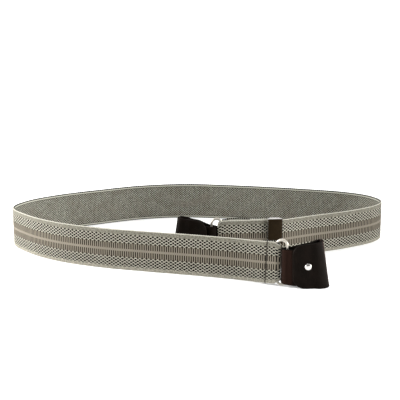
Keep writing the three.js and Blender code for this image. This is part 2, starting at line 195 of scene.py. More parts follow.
# Slide
SLIDE_FROM_RING = 46
SLIDE_WIDTH = 12
SLIDE_PLATE = 1.0
SLIDE_LEG = 0.6
SLIDE_PLATE_GAP = 0.5
SLIDE_LOW = 0.9
SLIDE_HIGH = 36.9
SLIDE_BAR_RADIUS = 0.8
SLIDE_BAR_SHIFT = 2.0
SLIDE_BACK_RADIUS = 2.4
SLIDE_CORNER = 0.45  # radius at the front of the legs and the plate
SLIDE_EDGE = 0.22
PLATE_CORNER = 0.3  # radius at the back of the plate
PLATE_EDGE = 0.3
PLATE_INSET = 0.1  # of the plate's ends from the legs' outer faces
BAR_EDGE = 0.1
BAR_SIDES = 20
BAR_INTO_LEG = 0.3
COVER_MIDDLE = 1.5
COVER_SIDE = 0.9
COVER_OVER = 0.25  # how far it reaches past the slide's sides
COVER_RIM = 0.25  # thickness at the very side
COVER_SQUARENESS = 14  # the higher, the sooner the crown rises from the side
COVER_ROUNDING = 0.5  # of the upper and lower ends
COVER_TAPER = 0.02  # share of the width lost at the very ends
COVER_END = 0.5  # share of the thickness left at the very ends
COVER_CROWN_STEPS = 20
COVER_END_STEPS = 6
COVER_ROWS = 10

# Leather tabs
LEATHER = 2.2
LEATHER_PITCH = LEATHER + SEAT_GAP
BAR_TO_LEATHER = RING_WIRE / 2 + SEAT_GAP + LEATHER / 2
FLAP_RADIUS = 8.5
TAB_LEAN = 0.16
SNAP_ALONG = 16.5
SNAP_HEIGHT = 18.4
TAB_STEP = 0.7
TAB_BEVEL = 0.35
TAB_RIM = (0.0, 0.12, 0.3)  # rows of points near either end of the leather
TAB_END_INSET = 0.8  # share of the bevel drawn in at the very end
TAB_CURVE_STEPS = 24
TAB_ROWS = 22  # rows up each face of the leather
TAB_BEVEL_STEPS = 3
NECK_LIGHT_BAND = (21.2, 4.8)  # middle, back from the leather's inner end, and reach of the painted light on the neck, which is painted lighter and redder where it catches the light from the left
FOLD_WEAR = (30.5, 3)  # middle, from the flap's free end, and reach of the worn fold
WORN_AND_LIT_CORE = 0.6  # share of each reach that is fully covered: by the painted light on the neck, and by the wear on the fold
TAB_ROUTE = [  # along, out, low and high
    (4.0, 4.2, 0, 35.0),
    (8.5, 3.1, 0, 35.3),
    (12.3, LEATHER_PITCH, 0, 35.6),
    (20.0, LEATHER_PITCH, 0, 36.4),
    (25.4, 4.4, 0, 37.3),
    (30.0, 3.9, 0, 37.9),
    (31.7, 0.2, 0, 38.2),
    (30.0, -3.4, 0, 37.9),
    (25.4, -4.0, 0, 37.3),
    (20.0, -LEATHER_PITCH, 0, 36.4),
    (12.5, -LEATHER_PITCH, 0.4, 35.3),
    (8.5, -LEATHER_PITCH, 1.2, 33.9),
    (2.5, -BAR_TO_LEATHER, 2.6, 31.8),
    (-1.6, -BAR_TO_LEATHER + 0.1, 3.5, 31.4),
    (-4.25, 0, 3.4, 31.1),
    (-1.6, BAR_TO_LEATHER - 0.1, 2.0, 30.9),
    (4.5, 1.5, 1.3, 30.8),
    (9.5, 0, 1.3, 30.8),
    (20.5, 0, 1.3, 30.8),
]

# Ends: side of the ring's bar, headings in degrees, hand of the outer face, bow of the tab
FRONT_END = {"name": "front", "ring": -20, "tab": 1, "hand": 1, "bow": 4.5}
BACK_END = {"name": "back", "ring": 172, "tab": 169, "hand": -1, "bow": 0}

# Snaps
CAP_RADIUS = 2.75
CAP_HEIGHT = 1.5
CAP_RIM = 0.4
SHANK_RADIUS = 1.2
FLANGE_RADIUS = 3.4
FLANGE_THICKNESS = 0.9
FLANGE_EDGE = 0.36
SHANK_CHAMFER = 0.15
CAP_CHAMFER = 0.12
DOME_STEPS = 14
SNAP_SIDES = 48

CORNER_STEPS = 6  # in each rounded corner of an outline
EDGE_STEPS = 4  # over each rounded edge

# The weave's colours change from one to the next between the two values of each pair. Heights from the
# middle line and distances are in millimetres.
EVEN_BLEND = (-0.1, 0.1)
EDGE_BLEND = (-0.1, 0.15)
BORDER_BLEND = (-0.15, 0.25)
ZIGZAG_BLEND = 0.15
OPENING_BLEND = 0.15
NOISE_RANGE = (0.3, 0.7)  # where most values of a noise lie
YARN_CORE = (0.33, 0.47)  # painted highlight on a yarn's middle and painted shade at its sides next to the openings, by the distance from the nearest opening
FIBRE_SHARE = 0.35
MOTTLE_SHARE = 0.3
RIB_CORE = (0.35, 0.85)
POCKET_HEIGHT = (5.6, 6.1)  # the dark pockets between the tips of the light yarn
POCKET_REACH = (0.8, 0.4)
CREST = (17.34, 17.42)  # the row of beads on the webbing's edge
CREST_BEAD = (0.6, 0.9)
SEAM_SHADE = (0.75, 0.35)
INNER_DOT = (0.42, 0.24)
DOT_SHARE = 0.66
DOT_PATCHES = 0.6  # what light patches of a noise add to it, at most
WARM_RANGE = (0.4, 0.65)
WARM_SHARE = 0.32
UNDER_LINE = 15.0  # a faint dark line beside the inner face's light one
UNDER_BLEND = (0.6, 0.3)
UNDER_SHARE = 0.4
LIGHT_LINE = 15.9
LINE_BLEND = (0.6, 0.35)
INNER_EDGE = (16.35, 16.5)  # where the dotted edge begins
INNER_BEAD = (0.75, 0.95)

# Relief that is finer than the mesh, with the bump's height in metres
TWIST_PERIOD = 0.42
FIBRE_RELIEF = 0.5
TWIST_RELIEF = 0.3
OPENING_RELIEF = 1.2
DOT_RELIEF = 0.7
OUTER_BUMP = 0.00025
INNER_BUMP = 0.00022
THREAD_BUMP = 0.0001
PEBBLE_SCALE = 1.7
PEBBLE_EDGE = 0.25  # share of a pebble that slopes to its edge
PEBBLE_RELIEF = 0.5
CREASE_RELIEF = 0.8
LEATHER_BUMP = 0.00007
METAL_BUMP = 0.00001

# Shine
OUTER_ROUGHNESS = 0.9
INNER_ROUGHNESS = 0.92
WEBBING_SHINE = {"Specular IOR Level": 0.12, "Sheen Weight": 0.02}
THREAD_ROUGHNESS = 0.8
FLOOR_ROUGHNESS = 0.95
FLOOR_SHINE = {"Specular IOR Level": 0.1}
LEATHER_ROUGHNESS = (0.45, 0.66)
LEATHER_SHINE = {"Specular IOR Level": 0.04}
CUT_EDGE = (0.35, 0.8)  # how far a face of the leather has to look up or down to be a cut edge, which is painted darker as painted shade
CUT_EDGE_DULLING = 0.35
RING_ROUGHNESS = 0.34
SNAP_ROUGHNESS = 0.24
SLIDE_ROUGHNESS = 0.24
ROUGHNESS_SPREAD = (-0.05, 0.1)  # of the metals, from their own roughness
WEAR_RANGE = (0.35, 0.75)  # values of a noise where the metals go from new to worn


def linear(red, green, blue):
    """A colour given in 0 to 255 as seen on a screen, in the renderer's own terms."""
    channels = []
    for value in (red, green, blue):
        share = value / 255
        channels.append(share / 12.92 if share <= 0.04045 else ((share + 0.055) / 1.055) ** 2.4)
    return (*channels, 1)


# Colours
# The first yarn colour is also the painted shade at a yarn's sides next to the openings; the second is the
# yarn's light colour with a painted highlight on its middle.
YARN_SHADE = linear(151, 145, 116)
YARN_HIGHLIGHTED = linear(246, 243, 226)
YARN_WARM = linear(168, 158, 140)
ZIGZAG_YARN = linear(138, 135, 121)
SELVEDGE_LIGHT = linear(190, 187, 174)
OPENING_DARK = linear(9, 6, 2)
RIB_SHADE = linear(22, 17, 8)
RIB_LIGHT = linear(138, 130, 116)
STRIPE_SHADE = linear(107, 100, 88)
STRIPE_LIGHT = linear(134, 127, 114)
# The lower border's colours are painted lighter than the upper border's: painted light from the white floor
# below.
UPPER_BORDER_SHADE = linear(86, 84, 73)
UPPER_BORDER_LIGHT = linear(141, 138, 125)
LOWER_BORDER_SHADE = linear(109, 106, 94)
LOWER_BORDER_LIGHT = linear(170, 166, 152)
INNER_SHADE = linear(74, 73, 63)
INNER_LIGHT = linear(164, 163, 150)
INNER_WARM = linear(106, 96, 84)
INNER_DARK = linear(22, 21, 16)
TAB_DARK = linear(12, 8, 5)
TAB_WARM = linear(19, 13, 9)
TAB_WORN = linear(44, 25, 20)
# painted light: the neck's lighter, redder tone where it catches the light from the left
NECK_LIT = linear(34, 20, 14)
COVER_DARK = linear(30, 22, 11)
COVER_WARM = linear(38, 29, 16)
THREAD_SHADE = linear(36, 30, 24)
THREAD_LIGHT = linear(84, 76, 64)
RING_METAL = (0.56, 0.525, 0.46, 1)
SNAP_METAL = (0.68, 0.655, 0.62, 1)
SLIDE_METAL = (0.36, 0.35, 0.33, 1)
METAL_WEAR = 0.86  # the share of their colour that the metals keep where they are worn
FLOOR_COLOUR = (0.94, 0.94, 0.935, 1)
WHITE = (1, 1, 1, 1)

# Worked-out values
BAR_TO_WEBBING = RING_WIRE / 2 + SEAT_GAP + WEBBING_THICKNESS / 2
SLIDE_TURN_RADIUS = SLIDE_BAR_RADIUS + SEAT_GAP + WEBBING_THICKNESS / 2
SLIDE_BAR_OUT = LAYER_PITCH + SLIDE_TURN_RADIUS
SLIDE_BACK = -SLIDE_BAR_OUT - SLIDE_BAR_RADIUS
PLATE_BACK = WEBBING_THICKNESS / 2 + SLIDE_PLATE_GAP
PLATE_FRONT = PLATE_BACK + SLIDE_PLATE
FOLD_ALONG = max(row[0] for row in TAB_ROUTE)
TAB_MIDDLE = max(row[3] for row in TAB_ROUTE) / 2
FLAP_OUTER = LEATHER_PITCH + LEATHER / 2
LATTICE_EDGE = LATTICE_START - LATTICE_PITCH / 8


def left_of(direction):
    return Vector((-direction.y, direction.x))


def ease(share):
    share = min(max(share, 0), 1)
    return share * share * (3 - 2 * share)


def quarter(steps):
    """Sine and cosine of evenly spaced angles from 0 to 90 degrees."""
    angles = [math.pi / 2 * i / steps for i in range(steps + 1)]
    return [(math.sin(angle), math.cos(angle)) for angle in angles]


def circle(sides):
    """Cosine and sine of evenly spaced angles all round."""
    angles = [2 * math.pi * k / sides for k in range(sides)]
    return [(math.cos(angle), math.sin(angle)) for angle in angles]


def side_faces(layers, size, joined=False):
    """The faces between closed loops of points, with the last loop joined to the first or not."""
    faces = []
    for i in range(layers if joined else layers - 1):
        for k in range(size):
            a = i * size + k
            b = i * size + (k + 1) % size
            faces.append((a, b, (b + size) % (layers * size), (a + size) % (layers * size)))
    return faces


def stacked_faces(layers, size):
    """The faces of a body whose points lie in a stack of closed loops, with both ends closed."""
    last = (layers - 1) * size
    return [*side_faces(layers, size), tuple(range(size)), tuple(range(last, last + size))]


def from_rows(rows, column, at):
    """A value between the rows of a table, eased from each row to the next."""
    if at >= rows[-1][0]:
        return rows[-1][column]
    if at <= rows[0][0]:
        return rows[0][column]
    following = next(i for i, row in enumerate(rows) if row[0] > at)
    first = rows[following - 1]
    second = rows[following]
    share = ease((at - first[0]) / (second[0] - first[0]))
    return first[column] + (second[column] - first[column]) * share


def curve_points(points, steps):
    """A smooth curve through points, as the CAD model draws it (centripetal Catmull-Rom)."""
    points = [Vector(point) for point in points]
    run = [points[0] * 2 - points[1], *points, points[-1] * 2 - points[-2]]
    found = []
    for i in range(1, len(run) - 2):
        p0, p1, p2, p3 = run[i - 1 : i + 3]
        d0 = math.sqrt((p1 - p0).length)
        d1 = math.sqrt((p2 - p1).length)
        d2 = math.sqrt((p3 - p2).length)
        start = ((p1 - p0) / d0 - (p2 - p0) / (d0 + d1) + (p2 - p1) / d1) * d1
        end = ((p2 - p1) / d1 - (p3 - p1) / (d1 + d2) + (p3 - p2) / d2) * d1
        square = p2 * 3 - p1 * 3 - start * 2 - end
        cube = p1 * 2 - p2 * 2 + start + end
        for k in range(steps):
            t = k / steps
            found.append(p1 + start * t + square * t**2 + cube * t**3)
    found.append(points[-1])
    return found


class Route:
    """A line of stations (x, y, low, high) that gives its stations by the distance run."""

    def __init__(self, stations):
        self.stations = [Vector(station) for station in stations]
        self.run = [0.0]
        for a, b in zip(self.stations, self.stations[1:]):
            self.run.append(self.run[-1] + (b.xy - a.xy).length)
        self.length = self.run[-1]

    def at(self, distance):
        index = bisect.bisect_right(self.run, distance) - 1
        index = min(max(index, 0), len(self.run) - 2)
        share = (distance - self.run[index]) / (self.run[index + 1] - self.run[index])
        return self.stations[index].lerp(self.stations[index + 1], share)

    def heading(self, distance):
        before = self.at(max(distance - HEADING_REACH, 0))
        after = self.at(min(distance + HEADING_REACH, self.length))
        return (after.xy - before.xy).normalized()

    def reversed(self):
        return Route(reversed(self.stations))


def strap_route():
    """The middle line of the strap round the loop, in even steps."""
    points = curve_points([Vector(row) for row in STRAP_ROUTE], CURVE_STEPS)
    stations = []
    for point in points:
        low = max(0.0, point.z)
        stations.append((point.x, point.y, low, low + WEBBING_WIDTH))
    fine = Route(stations)
    count = round(fine.length / FINE_STEP)
    return Route(fine.at(fine.length * i / count) for i in range(count + 1))


def strap_end(strap, side):
    """The strap's end and the bar it turns round, on its left (side 1) or right (side -1)."""
    at = strap.at(strap.length)
    towards = strap.heading(strap.length)
    bar = at.xy + left_of(towards) * side * BAR_TO_WEBBING
    return {"strap": strap, "side": side, "bar": bar, "towards": towards, "low": at.z}


def half_turn(bar, side, towards, low, radius, slack, pinch):
    """Stations round a bar, whose edges draw in by the pinch at the turn's far side."""
    across = left_of(towards) * side
    turn = []
    for i in range(TURN_STEPS + 1):
        angle = (i / TURN_STEPS - 0.5) * math.pi
        at = bar + towards * (radius + slack) * math.cos(angle) + across * radius * math.sin(angle)
        drawn_in = pinch * math.sqrt(max(0, math.cos(angle)))
        turn.append((at.x, at.y, low + drawn_in, low + WEBBING_WIDTH - drawn_in))
    return turn


def layer(end, rows):
    """Stations of a layer that lies inside the strap, as a table of its places gives it."""
    strap = end["strap"]
    reach = rows[-1][0] - rows[0][0]
    count = math.ceil(reach / FINE_STEP)
    stations = []
    for i in range(count + 1):
        back = rows[0][0] + reach * i / count
        distance = strap.length - back
        place = strap.at(distance)
        off = end["side"] * from_rows(rows, 1, back)
        at = place.xy + left_of(strap.heading(distance)) * off
        low = place.z + from_rows(rows, 2, back)
        stations.append((at.x, at.y, low, low + WEBBING_WIDTH))
    return stations


def slide_turn(end):
    """Stations of the turn round the slide's bar."""
    strap = end["strap"]
    distance = strap.length - SLIDE_FROM_RING - SLIDE_BAR_SHIFT
    place = strap.at(distance)
    towards = strap.heading(distance)
    bar = place.xy + left_of(towards) * end["side"] * SLIDE_BAR_OUT
    return half_turn(bar, end["side"], -towards, place.z, SLIDE_TURN_RADIUS, 0, 0)


def smoothed(stations):
    """The stations with small kinks between layers and turns evened out. Both ends stay."""
    stations = [Vector(station) for station in stations]
    for _ in range(SMOOTHING):
        middle = [(a + b * 2 + c) / 4 for a, b, c in zip(stations, stations[1:], stations[2:])]
        stations = [stations[0], *middle, stations[-1]]
    return stations


def webbing_route(front, back):
    """The whole webbing's middle line, and the distance along it where the strap begins."""
    ring_turn = {"radius": BAR_TO_WEBBING, "slack": FOLD_SLACK, "pinch": FOLD_PINCH}
    turn_keys = ("bar", "side", "towards", "low")
    front_turn = half_turn(*(front[key] for key in turn_keys), **ring_turn)
    back_turn = half_turn(*(back[key] for key in turn_keys), **ring_turn)
    start = [*reversed(layer(front, FRONT_FOLD)), *reversed(front_turn)]
    loop = [tuple(station) for station in back["strap"].stations[1:-1]]
    end = [*back_turn, *layer(back, BACK_RETURN), *slide_turn(back), *reversed(layer(back, SEWN_TAIL))]
    even = Route([*start, *loop, *end])
    count = round(even.length / FINE_STEP)
    stations = [even.at(even.length * i / count) for i in range(count + 1)]
    return Route(smoothed(stations)), Route(start).length


def new_object(name, vertices, faces):
    """A mesh object from points in the route's millimetres, with its faces pointing out."""
    mesh = bpy.data.meshes.new(name)
    shifted = [((x + CAD_SHIFT[0]) * MM, (y + CAD_SHIFT[1]) * MM, z * MM) for x, y, z in vertices]
    mesh.from_pydata(shifted, [], faces)
    outward = bmesh.new()
    outward.from_mesh(mesh)
    bmesh.ops.recalc_face_normals(outward, faces=outward.faces)
    outward.to_mesh(mesh)
    outward.free()
    mesh.polygons.foreach_set("use_smooth", [True] * len(mesh.polygons))
    made = bpy.data.objects.new(name, mesh)
    bpy.context.scene.collection.objects.link(made)
    return made


def add_weave_map(made, places):
    """A UV map that holds each vertex's own place on the flat material, in millimetres."""
    flat = made.data.uv_layers.new(name="flat")
    for loop in made.data.loops:
        flat.data[loop.index].uv = places[loop.vertex_index]


def finish_piece(made, materials, slot, *nodes):
    """Gives a piece its materials and body, and hides the CAD nodes that it stands for. Its slot is not used.
    """
    made.data.materials.clear()
    for material in materials:
        made.data.materials.append(material)
    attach(made, "root")
    if nodes:
        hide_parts(*nodes)


def lattice_pit(distance, from_middle):
    """How deep the outer face lies below its yarns, from 0 to 1, inside the lattice."""
    across = distance / WEAVE_PERIOD
    up = (from_middle - LATTICE_START) / LATTICE_PITCH
    from_opening = max(abs(value - round(value)) for value in (across + up, across - up))
    return ease(1 - from_opening / OPENING_REACH)


def outer_relief(distance, row):
    """The outer face's height above its mean surface, in millimetres."""
    from_middle = abs(row)
    if from_middle > (UPPER_LATTICE_EDGE if row > 0 else LOWER_LATTICE_EDGE):
        return 0
    if from_middle > LATTICE_EDGE:
        return YARN_RISE - OPENING_DEPTH * lattice_pit(distance, from_middle)
    if from_middle > STRIPE_EDGE:
        return -RIB_DEPTH * (math.cos(4 * math.pi * distance / WEAVE_PERIOD) + RIB_SINK)
    return YARN_RISE


def seam_relief(distance, seam, row):
    """The groove that the front fold's leaning seam pulls into the webbing."""
    from_seam = distance - (seam - SEAM_LEAN * row)
    return -SEAM_DEPTH * math.exp(-((from_seam / SEAM_REACH) ** 2))


def edge_share(from_middle):
    """How much of the webbing's thickness is left towards its rounded edges."""
    into = from_middle - (WEBBING_WIDTH / 2 - EDGE_ROUNDING)
    if into <= 0:
        return 1
    return math.sqrt(max(EDGE_LEFT, 1 - (into / EDGE_ROUNDING) ** 2))


def webbing_columns(route, turns):
    """Distances along the webbing, in step with the weave and closer together in the turns."""
    step = WEAVE_PERIOD / COLUMNS_PER_PERIOD
    columns = [0.0]
    for i in range(1, int(route.length / step) + 1):
        distance = i * step
        in_turn = any(low <= distance <= high for low, high in turns)
        if i % 2 == 0 or in_turn:
            columns.append(distance)
    if route.length - columns[-1] < step / 2:
        columns.pop()
    return [*columns, route.length]


def both_halves(rows, sign):
    """Rows from one edge to the other, each with its distance above the middle line."""
    lower = [-sign * row for row in reversed(rows)]
    upper = [sign * row for row in rows if row > 0]
    return [*lower, *upper]


def make_webbing(route, strap_starts, strap_ends):
    """The whole webbing, with the outer face's weave in relief, and each face's own material."""
    seam = strap_starts + SEAM_BACK
    half = WEBBING_WIDTH / 2
    front_turn = (strap_starts - FRONT_FOLD_REACH, strap_starts + TURN_MARGIN)
    columns = webbing_columns(route, [front_turn, (strap_ends - TURN_MARGIN, route.length)])
    outer_rows = both_halves(OUTER_ROWS, 1)
    inner_rows = both_halves(INNER_ROWS, -1)
    section = [(row, 1) for row in outer_rows]
    section += [(half, 0)]
    section += [(row, -1) for row in inner_rows]
    section += [(-half, 0)]
    vertices = []
    places = []
    for distance in columns:
        station = route.at(distance)
        normal = left_of(route.heading(distance))
        middle = (station.z + station.w) / 2
        scale = (station.w - station.z) / WEBBING_WIDTH
        for row, face in section:
            offset = face * WEBBING_THICKNESS / 2 * edge_share(abs(row))
            if face > 0:
                offset += outer_relief(distance, row) + seam_relief(distance, seam, row)
            at = station.xy + normal * offset
            vertices.append((at.x, at.y, middle + row * scale))
            places.append((distance, row + half))
    made = new_object("webbing_woven", vertices, stacked_faces(len(columns), len(section)))
    add_weave_map(made, places)
    finish_piece(made, [webbing_outer_finish(seam), webbing_inner_finish()], "webbing", "webbing")
    inner_sides = range(len(outer_rows), len(section) - 1)
    kinds = [1 if k in inner_sides else 0 for k in range(len(section))] * (len(columns) - 1)
    made.data.polygons.foreach_set("material_index", [*kinds, 0, 0])


def capsule(centre, direction, across, out):
    """One stitch: a rounded length of thread along a direction."""
    vertices = []
    for share, girth in STITCH_PROFILE:
        middle = centre + direction * share * STITCH_LENGTH / 2
        radius = STITCH_RADIUS * girth
        for cosine, sine in circle(STITCH_SIDES):
            vertices.append(middle + across * radius * cosine + out * radius * sine)
    return vertices, stacked_faces(len(STITCH_PROFILE), STITCH_SIDES)


def make_seam(name, strap, back, lean, offs, thread):
    """Rows of stitches up the webbing, each row on a face that lies off the strap's middle line."""
    vertices = []
    faces = []
    count = math.floor((WEBBING_WIDTH - 2 * SEAM_MARGIN) / STITCH_PITCH)
    for off, facing in offs:
        for i in range(count + 1):
            from_middle = (i / count - 0.5) * (WEBBING_WIDTH - 2 * SEAM_MARGIN)
            distance = strap.length - back - lean * from_middle
            station = strap.at(distance)
            along = strap.heading(distance)
            at = station.xy + left_of(along) * off
            centre = Vector((*at, (station.z + station.w) / 2 + from_middle))
            slant = math.radians(STITCH_SLANT if i % 2 else 180 - STITCH_SLANT)
            direction = Vector((*(along * math.cos(slant)), math.sin(slant)))
            out = Vector((*(left_of(along) * facing), 0))
            points, sides = capsule(centre, direction, direction.cross(out), out)
            faces += [tuple(k + len(vertices) for k in side) for side in sides]
            vertices += points
    finish_piece(new_object(name, vertices, faces), [thread], "webbing")


def make_seams(front, back, thread):
    """The front fold's seam, seen on both sides, and the tail's seam on the returning layer."""
    half = WEBBING_THICKNESS / 2
    outside = -front["side"] * (half - STITCH_SUNK)
    inside = front["side"] * (LAYER_PITCH + half + STITCH_PROUD)
    rows = [(outside, -front["side"]), (inside, front["side"])]
    make_seam("front_fold_seam", front["strap"], SEAM_BACK, -SEAM_LEAN, rows, thread)
    returned = from_rows(BACK_RETURN, 1, TAIL_SEAM_BACK)
    rows = [(back["side"] * (returned + half + STITCH_PROUD), back["side"])]
    make_seam("tail_seam", back["strap"], TAIL_SEAM_BACK, 0, rows, thread)


def upright_frame(at, along, hand):
    """x along, y out of the belt's outer face, z up."""
    out = left_of(along) * -hand
    return Matrix(((along.x, out.x, 0, at.x), (along.y, out.y, 0, at.y), (0, 0, 1, 0), (0, 0, 0, 1)))


def in_frame(frame, points):
    return [tuple(frame @ Vector(point)) for point in points]


def heading_of(degrees):
    angle = math.radians(degrees)
    return Vector((math.cos(angle), math.sin(angle)))


def bend(bow, along, out, up):
    """A tab's own bend: its middle bows out, and it leans towards its fold."""
    share = min(max(along / FOLD_ALONG, 0), 1)
    drawn = 1 - (math.pi * bow / (2 * FOLD_ALONG)) ** 2
    lean = TAB_LEAN * share * (up - TAB_MIDDLE)
    return (along * drawn - lean, out + bow * math.sin(math.pi * share), up)


def tube(name, path, radius, sides, frame):
    """A closed round wire along a closed path in a frame's along and up."""
    vertices = []
    count = len(path)
    for i, (x, z) in enumerate(path):
        before = Vector(path[i - 1])
        after = Vector(path[(i + 1) % count])
        across = left_of((after - before).normalized())
        for cosine, sine in circle(sides):
            out = across * radius * cosine
            vertices.append((x + out.x, radius * sine, z + out.y))
    return new_object(name, in_frame(frame, vertices), side_faces(count, sides, joined=True))


def ring_path():
    """The wire's middle line: two bars joined by half-round ends."""
    radius = RING_SPACING / 2
    high = RING_HEIGHT - RING_WIRE / 2 - radius
    low = RING_WIRE / 2 + radius
    path = []
    for start, centre, other, bar in ((0, high, low, 0), (1, low, high, RING_SPACING)):
        for i in range(RING_TURN_STEPS + 1):
            angle = math.pi * (start + i / RING_TURN_STEPS)
            path.append((radius + radius * math.cos(angle), centre + radius * math.sin(angle)))
        for i in range(1, RING_BAR_STEPS):
            path.append((bar, centre + (other - centre) * i / RING_BAR_STEPS))
    return path


def make_ring(end, frame, metal):
    made = tube(f"{end['name']}_ring_wire", ring_path(), RING_WIRE / 2, RING_SIDES, frame)
    finish_piece(made, [metal], "ring_metal", f"{end['name']}_ring")


def tab_stations():
    """The leather's middle line and edge heights by the distance run from the flap's free end."""
    points = curve_points([(row[0], row[1], 0) for row in TAB_ROUTE], TAB_CURVE_STEPS)
    stations = []
    run = 0
    for i, point in enumerate(points):
        if i > 0:
            run += (point.xy - points[i - 1].xy).length
        row = min(i // TAB_CURVE_STEPS, len(TAB_ROUTE) - 2)
        share = i / TAB_CURVE_STEPS - row
        first, second = TAB_ROUTE[row : row + 2]
        low = first[2] + (second[2] - first[2]) * share
        high = first[3] + (second[3] - first[3]) * share
        short = max(0, FLAP_RADIUS - run)
        rounded = FLAP_RADIUS - math.sqrt(FLAP_RADIUS**2 - short**2)
        stations.append((point.x, point.y, low + rounded, high - rounded))
    return Route(stations)


def tab_section(low, high, half):
    """A loop round the leather's cross-section with rounded edges: (height, offset) pairs."""
    bevel = TAB_BEVEL
    corner = quarter(TAB_BEVEL_STEPS)
    inner_low = low + bevel
    inner_high = high - bevel
    rise = (inner_high - inner_low) / TAB_ROWS
    side = [(inner_low - bevel * s, half - bevel + bevel * c) for s, c in reversed(corner)]
    side += [(inner_low + rise * i, half) for i in range(1, TAB_ROWS)]
    side += [(inner_high + bevel * s, half - bevel + bevel * c) for s, c in corner]
    return [*side, *((z, -offset) for z, offset in reversed(side))]


def end_inset(into):
    """How far the leather's faces draw in, at a distance from the nearer end."""
    if into <= 0:
        return TAB_BEVEL * TAB_END_INSET
    left_over = max(0, 1 - into / TAB_BEVEL)
    return TAB_BEVEL * (1 - math.sqrt(1 - left_over**2))


def make_tab(end, frame, leather):
    route = tab_stations()
    count = round(route.length / TAB_STEP)
    distances = [*TAB_RIM, *(route.length * i / count for i in range(1, count))]
    distances += [route.length - into for into in reversed(TAB_RIM)]
    vertices = []
    places = []
    for distance in distances:
        station = route.at(distance)
        normal = left_of(route.heading(distance))
        inset = end_inset(min(distance, route.length - distance))
        for z, offset in tab_section(station.z + inset, station.w - inset, LEATHER / 2 - inset):
            at = station.xy + normal * offset
            vertices.append(bend(end["bow"], at.x, at.y, z))
            places.append((distance, z))
    faces = stacked_faces(len(distances), len(vertices) // len(distances))
    made = new_object(f"{end['name']}_tab_leather", in_frame(frame, vertices), faces)
    add_weave_map(made, places)
    finish_piece(made, [leather], "tab_leather", f"{end['name']}_tab")


def turned(name, profile, frame):
    """A turned body about its frame's y, from (radius, y) pairs that start and end on the axis."""
    vertices = [(0, profile[0][1], 0)]
    for radius, y in profile[1:-1]:
        vertices += [(radius * cosine, y, radius * sine) for cosine, sine in circle(SNAP_SIDES)]
    vertices.append((0, profile[-1][1], 0))
    last = len(vertices) - 1
    rings = len(profile) - 2
    faces = []
    for k in range(SNAP_SIDES):
        after = (k + 1) % SNAP_SIDES
        faces.append((0, 1 + k, 1 + after))
        top = 1 + (rings - 1) * SNAP_SIDES
        faces.append((last, top + after, top + k))
        for ring in range(rings - 1):
            a = 1 + ring * SNAP_SIDES
            b = a + SNAP_SIDES
            faces.append((a + k, b + k, b + after, a + after))
    return new_object(name, in_frame(frame, vertices), faces)


def rounded_rim(radius, low, high, edge):
    """Profile points over a rim whose lower and upper edges are rounded."""
    turn = quarter(EDGE_STEPS)
    points = [(radius - edge + edge * s, low + edge - edge * c) for s, c in turn]
    points += [(radius - edge + edge * c, high - edge + edge * s) for s, c in turn]
    return points


def make_snap(end, frame, metal):
    """The domed cap with its shank, and the stud's flange and post."""
    base = FLAP_OUTER + SEAT_GAP
    rim = base + CAP_RIM
    shank_end = FLAP_OUTER - LEATHER
    cap = [(0, shank_end), (SHANK_RADIUS - SHANK_CHAMFER, shank_end)]
    cap += [(SHANK_RADIUS, shank_end + SHANK_CHAMFER), (SHANK_RADIUS, base)]
    cap += [(CAP_RADIUS - CAP_CHAMFER, base)]
    rise = base + CAP_HEIGHT - rim
    cap += [(CAP_RADIUS * c, rim + rise * s) for s, c in quarter(DOME_STEPS)[:-1]]
    cap += [(0, base + CAP_HEIGHT)]
    dome = turned(f"{end['name']}_snap_dome", cap, frame)
    finish_piece(dome, [metal], "snap_metal", f"{end['name']}_snap_cap")
    behind = -FLAP_OUTER - 2 * SEAT_GAP
    stud = [(0, behind - FLANGE_THICKNESS)]
    stud += rounded_rim(FLANGE_RADIUS, behind - FLANGE_THICKNESS, behind, FLANGE_EDGE)
    stud += [(SHANK_RADIUS, behind), (SHANK_RADIUS, LEATHER / 2 - SHANK_CHAMFER)]
    stud += [(SHANK_RADIUS - SHANK_CHAMFER, LEATHER / 2), (0, LEATHER / 2)]
    socket = turned(f"{end['name']}_snap_socket", stud, frame)
    finish_piece(socket, [metal], "snap_metal", f"{end['name']}_snap_stud")


def make_end(end, bar, materials):
    """A ring, the tab on its outer bar and the tab's snap."""
    along = heading_of(end["ring"])
    make_ring(end, upright_frame(bar, along, end["hand"]), materials["ring"])
    outer_bar = bar + along * RING_SPACING
    tab_frame = upright_frame(outer_bar, heading_of(end["tab"]), end["hand"])
    make_tab(end, tab_frame, materials["leather"])
    at = bend(end["bow"], SNAP_ALONG, 0, SNAP_HEIGHT)
    make_snap(end, tab_frame @ Matrix.Translation(at), materials["snap"])


def rounded_outline(half, front, back, front_radius, back_radius):
    """A rectangle in x and y, with rounded corners at its front and its back."""
    corners = [Vector(corner) for corner in ((half, front), (-half, front), (-half, back), (half, back))]
    radii = [front_radius, front_radius, back_radius, back_radius]
    outline = []
    for i, corner in enumerate(corners):
        before = (corners[i - 1] - corner).normalized()
        after = (corners[(i + 1) % len(corners)] - corner).normalized()
        half_angle = before.angle(after) / 2
        centre = corner + (before + after).normalized() * radii[i] / math.sin(half_angle)
        start = corner + before * radii[i] / math.tan(half_angle) - centre
        finish = corner + after * radii[i] / math.tan(half_angle) - centre
        for k in range(CORNER_STEPS + 1):
            outline.append(tuple(centre + start.slerp(finish, k / CORNER_STEPS)))
    return outline


